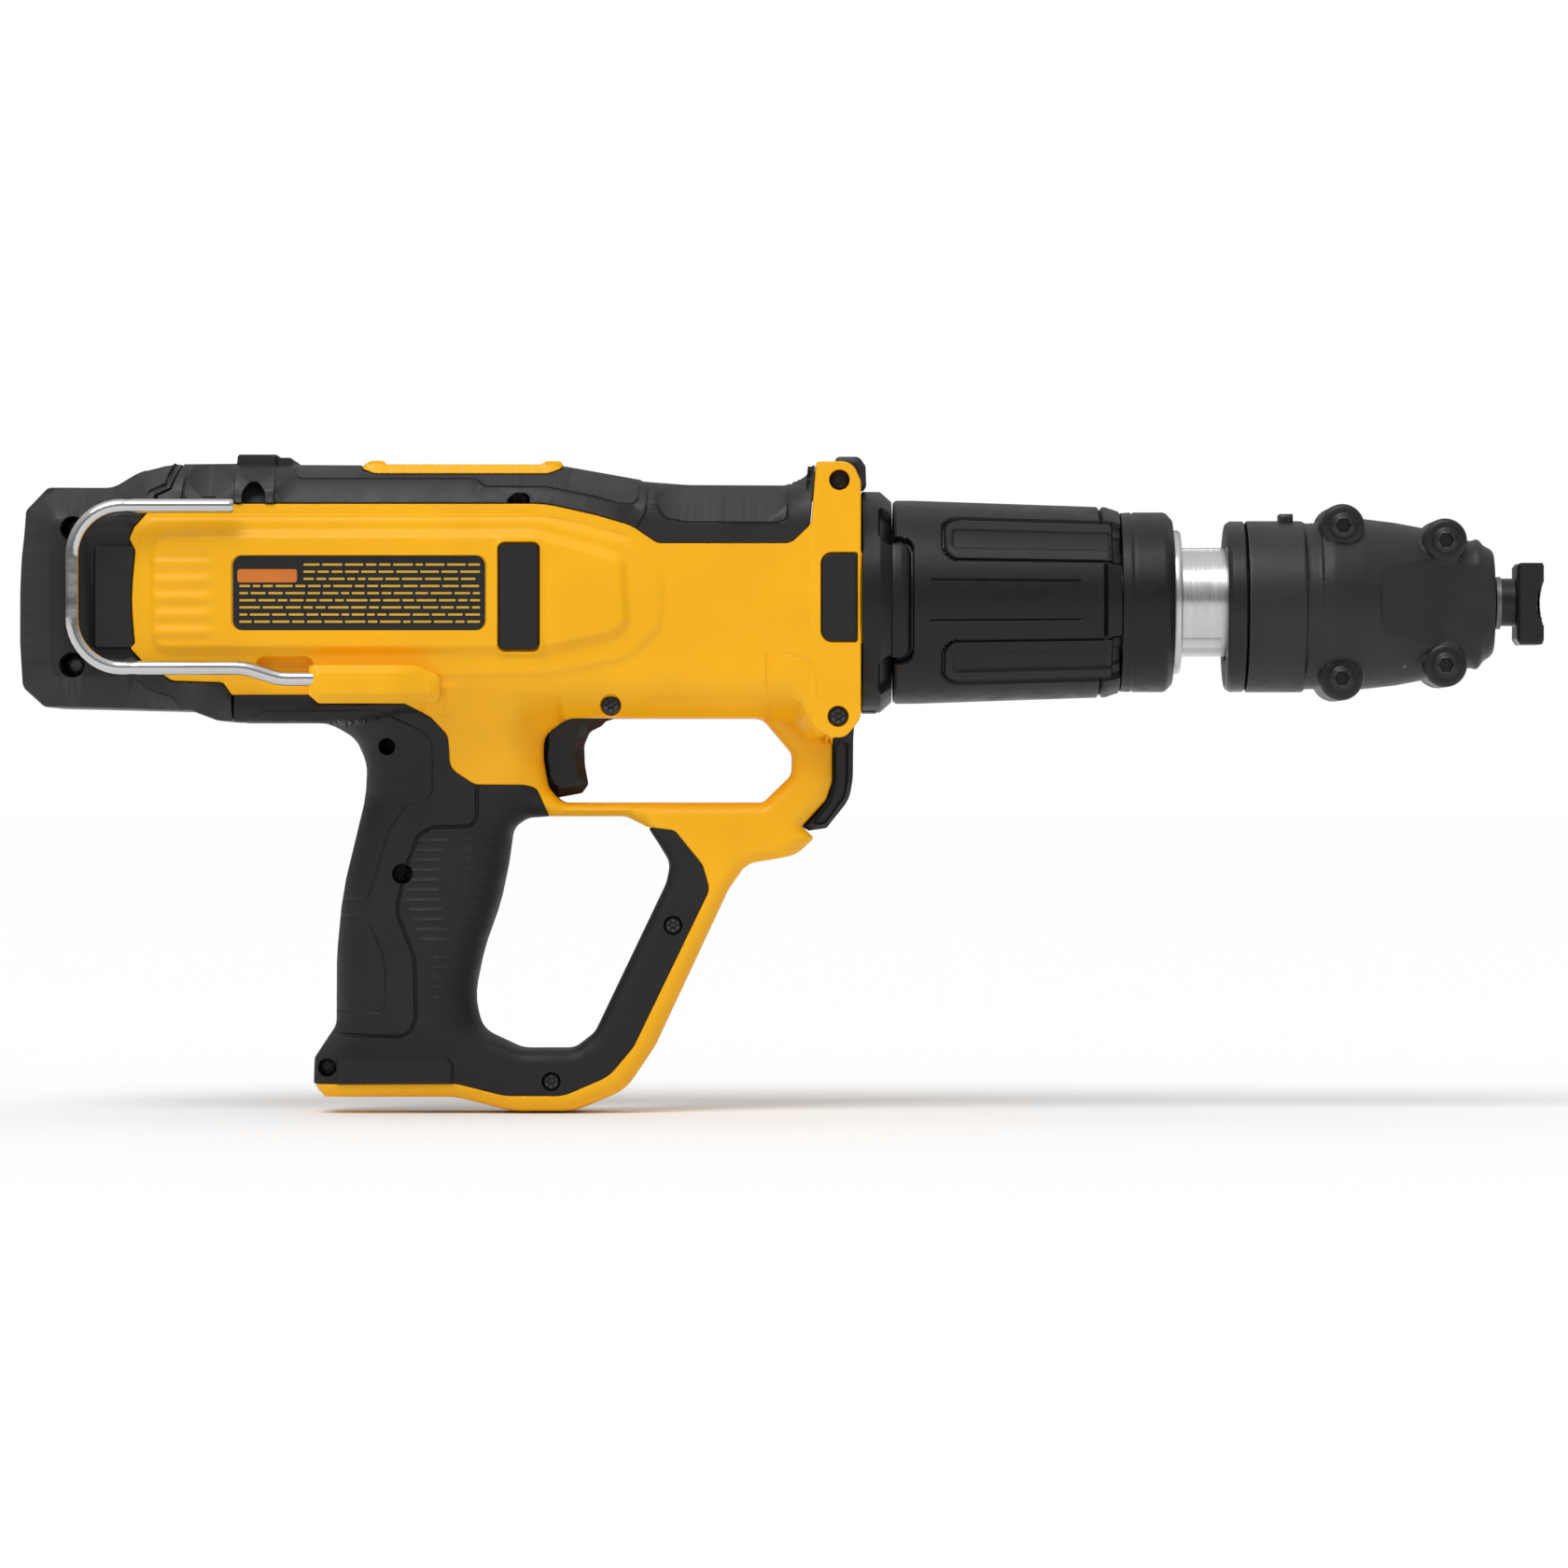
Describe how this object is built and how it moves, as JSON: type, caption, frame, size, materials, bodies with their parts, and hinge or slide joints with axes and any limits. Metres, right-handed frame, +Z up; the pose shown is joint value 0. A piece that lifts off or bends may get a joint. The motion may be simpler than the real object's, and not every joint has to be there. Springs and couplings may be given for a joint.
{
  "type": "powder-actuated nail gun",
  "caption": "Powder-actuated fastening tool: sliding barrel and nose, strip-fed chamber, closed D-handle with trigger, folding wire hook.",
  "frame": {"origin": "mouth of the fastener bore, at the bottom of the serrated hollow in the tip", "axes": "+X along the bore, the way the fastener leaves; +Z up, away from the handle; -Y is the side with the hook"},
  "size_m": [0.4654, 0.0766, 0.2004],
  "materials": {
    "yellow_nylon": "moulded, fine texture",
    "black_nylon": "moulded, fine texture",
    "black_rubber": "soft overmould",
    "satin_steel": "turned and satin",
    "cast_nose": "cast, black coat",
    "chromed_wire": "bright plated wire",
    "black_oxide": "black oxide",
    "spring_steel": "spring wire",
    "printed_plate": "blank plate"
  },
  "bodies": {
    "housing": {"housing_right": "yellow_nylon", "housing_left": "yellow_nylon", "top_cover": "black_nylon", "port_rim": "yellow_nylon", "rear_cap": "black_nylon", "grip_right": "black_rubber", "grip_left": "black_rubber", "side_pad_right": "black_rubber", "side_pad_left": "black_rubber", "front_pad_right": "black_rubber", "front_pad_left": "black_rubber", "data_plate": "printed_plate", "housing_screws": "black_oxide", "rear_cap_screws": "black_oxide", "strip_guide": "black_oxide", "breech_block": "satin_steel", "striker_tube": "satin_steel", "striker_plug": "satin_steel", "striker_spring": "spring_steel", "sear_pin": "satin_steel", "trigger_pin": "black_oxide", "trigger_spring": "spring_steel", "feed_pawl_pin": "satin_steel", "front_bush": "black_oxide", "rear_bush": "black_oxide", "return_spring": "spring_steel", "lever_screw": "black_oxide", "latch_pin": "satin_steel"},
    "nose": {"barrel": "satin_steel", "barrel_stop_ring": "black_oxide", "nose_ring": "black_oxide", "nose_shell_right": "cast_nose", "nose_shell_left": "cast_nose", "nose_bolts": "black_oxide", "nose_tab": "black_oxide", "fastener_guide": "black_oxide", "guide_clip": "black_oxide", "buffer": "black_rubber"},
    "piston": {"piston": "satin_steel", "piston_rings": "black_oxide"},
    "striker": {"striker": "satin_steel"},
    "trigger": {"trigger": "black_nylon"},
    "trigger_bar": {"trigger_bar": "black_oxide"},
    "sear": {"sear": "black_oxide"},
    "feed_pawl": {"feed_pawl": "black_oxide"},
    "hook": {"hook": "chromed_wire"},
    "release_lever": {"release_lever": "black_nylon"},
    "collar_latch": {"collar_latch": "black_nylon"},
    "sleeve_group": {"collar": "black_nylon", "sleeve": "black_nylon", "end_ring": "black_nylon", "wiper_ring": "black_oxide"}
  },
  "joints": [
    {"name": "nose_press", "type": "slide", "parent": "housing", "child": "nose", "axis": [-1, 0, 0], "range_m": [0, 0.0125], "stiffness_N_per_m": 2000, "springref_m": -0.03, "deforming": ["return_spring"]},
    {"name": "piston_stroke", "type": "slide", "parent": "nose", "child": "piston", "axis": [1, 0, 0], "range_m": [0, 0.06]},
    {"name": "striker_travel", "type": "slide", "parent": "housing", "child": "striker", "axis": [-1, 0, 0], "range_m": [0, 0.01], "stiffness_N_per_m": 800, "springref_m": -0.012, "deforming": ["striker_spring"]},
    {"name": "trigger_pull", "type": "hinge", "parent": "housing", "child": "trigger", "pos_m": [-0.2839, 0, -0.0318], "axis": [0, 1, 0], "range_deg": [0, 9], "stiffness_Nm_per_rad": 1.2, "springref_deg": -6.88, "deforming": ["trigger_spring"]},
    {"name": "trigger_bar_slide", "type": "slide", "parent": "housing", "child": "trigger_bar", "axis": [1, 0, 0], "range_m": [0, 0.0015]},
    {"name": "sear_pivot", "type": "hinge", "parent": "housing", "child": "sear", "pos_m": [-0.3737, 0, -0.014], "axis": [0, 1, 0], "range_deg": [-12.5, 0]},
    {"name": "feed_pawl_pivot", "type": "hinge", "parent": "housing", "child": "feed_pawl", "pos_m": [-0.3227, 0, -0.029], "axis": [0, 1, 0], "range_deg": [0, 20.1]},
    {"name": "hook_swing", "type": "hinge", "parent": "housing", "child": "hook", "pos_m": [-0.3587, -0.0385, -0.024], "axis": [1, 0, 0], "range_deg": [0, 90]},
    {"name": "release_lever_pull", "type": "hinge", "parent": "housing", "child": "release_lever", "pos_m": [-0.2149, 0, -0.0353], "axis": [0, -1, 0], "range_deg": [0, 25], "stiffness_Nm_per_rad": 0.5, "springref_deg": -17.19},
    {"name": "collar_latch_lift", "type": "hinge", "parent": "housing", "child": "collar_latch", "pos_m": [-0.2145, 0, 0.0364], "axis": [0, -1, 0], "range_deg": [0, 18], "stiffness_Nm_per_rad": 0.3, "springref_deg": -17.19},
    {"name": "collar_twist", "type": "hinge", "parent": "housing", "child": "sleeve_group", "pos_m": [-0.1687, 0, 0], "axis": [1, 0, 0], "range_deg": [0, 30]}
  ],
  "couplings": [
    {"joint": "trigger_bar_slide", "follows": "trigger_pull", "m_per_rad": 0.0089},
    {"joint": "sear_pivot", "follows": "trigger_pull", "ratio": -1.25},
    {"joint": "feed_pawl_pivot", "follows": "nose_press", "rad_per_m": 27.9}
  ]
}
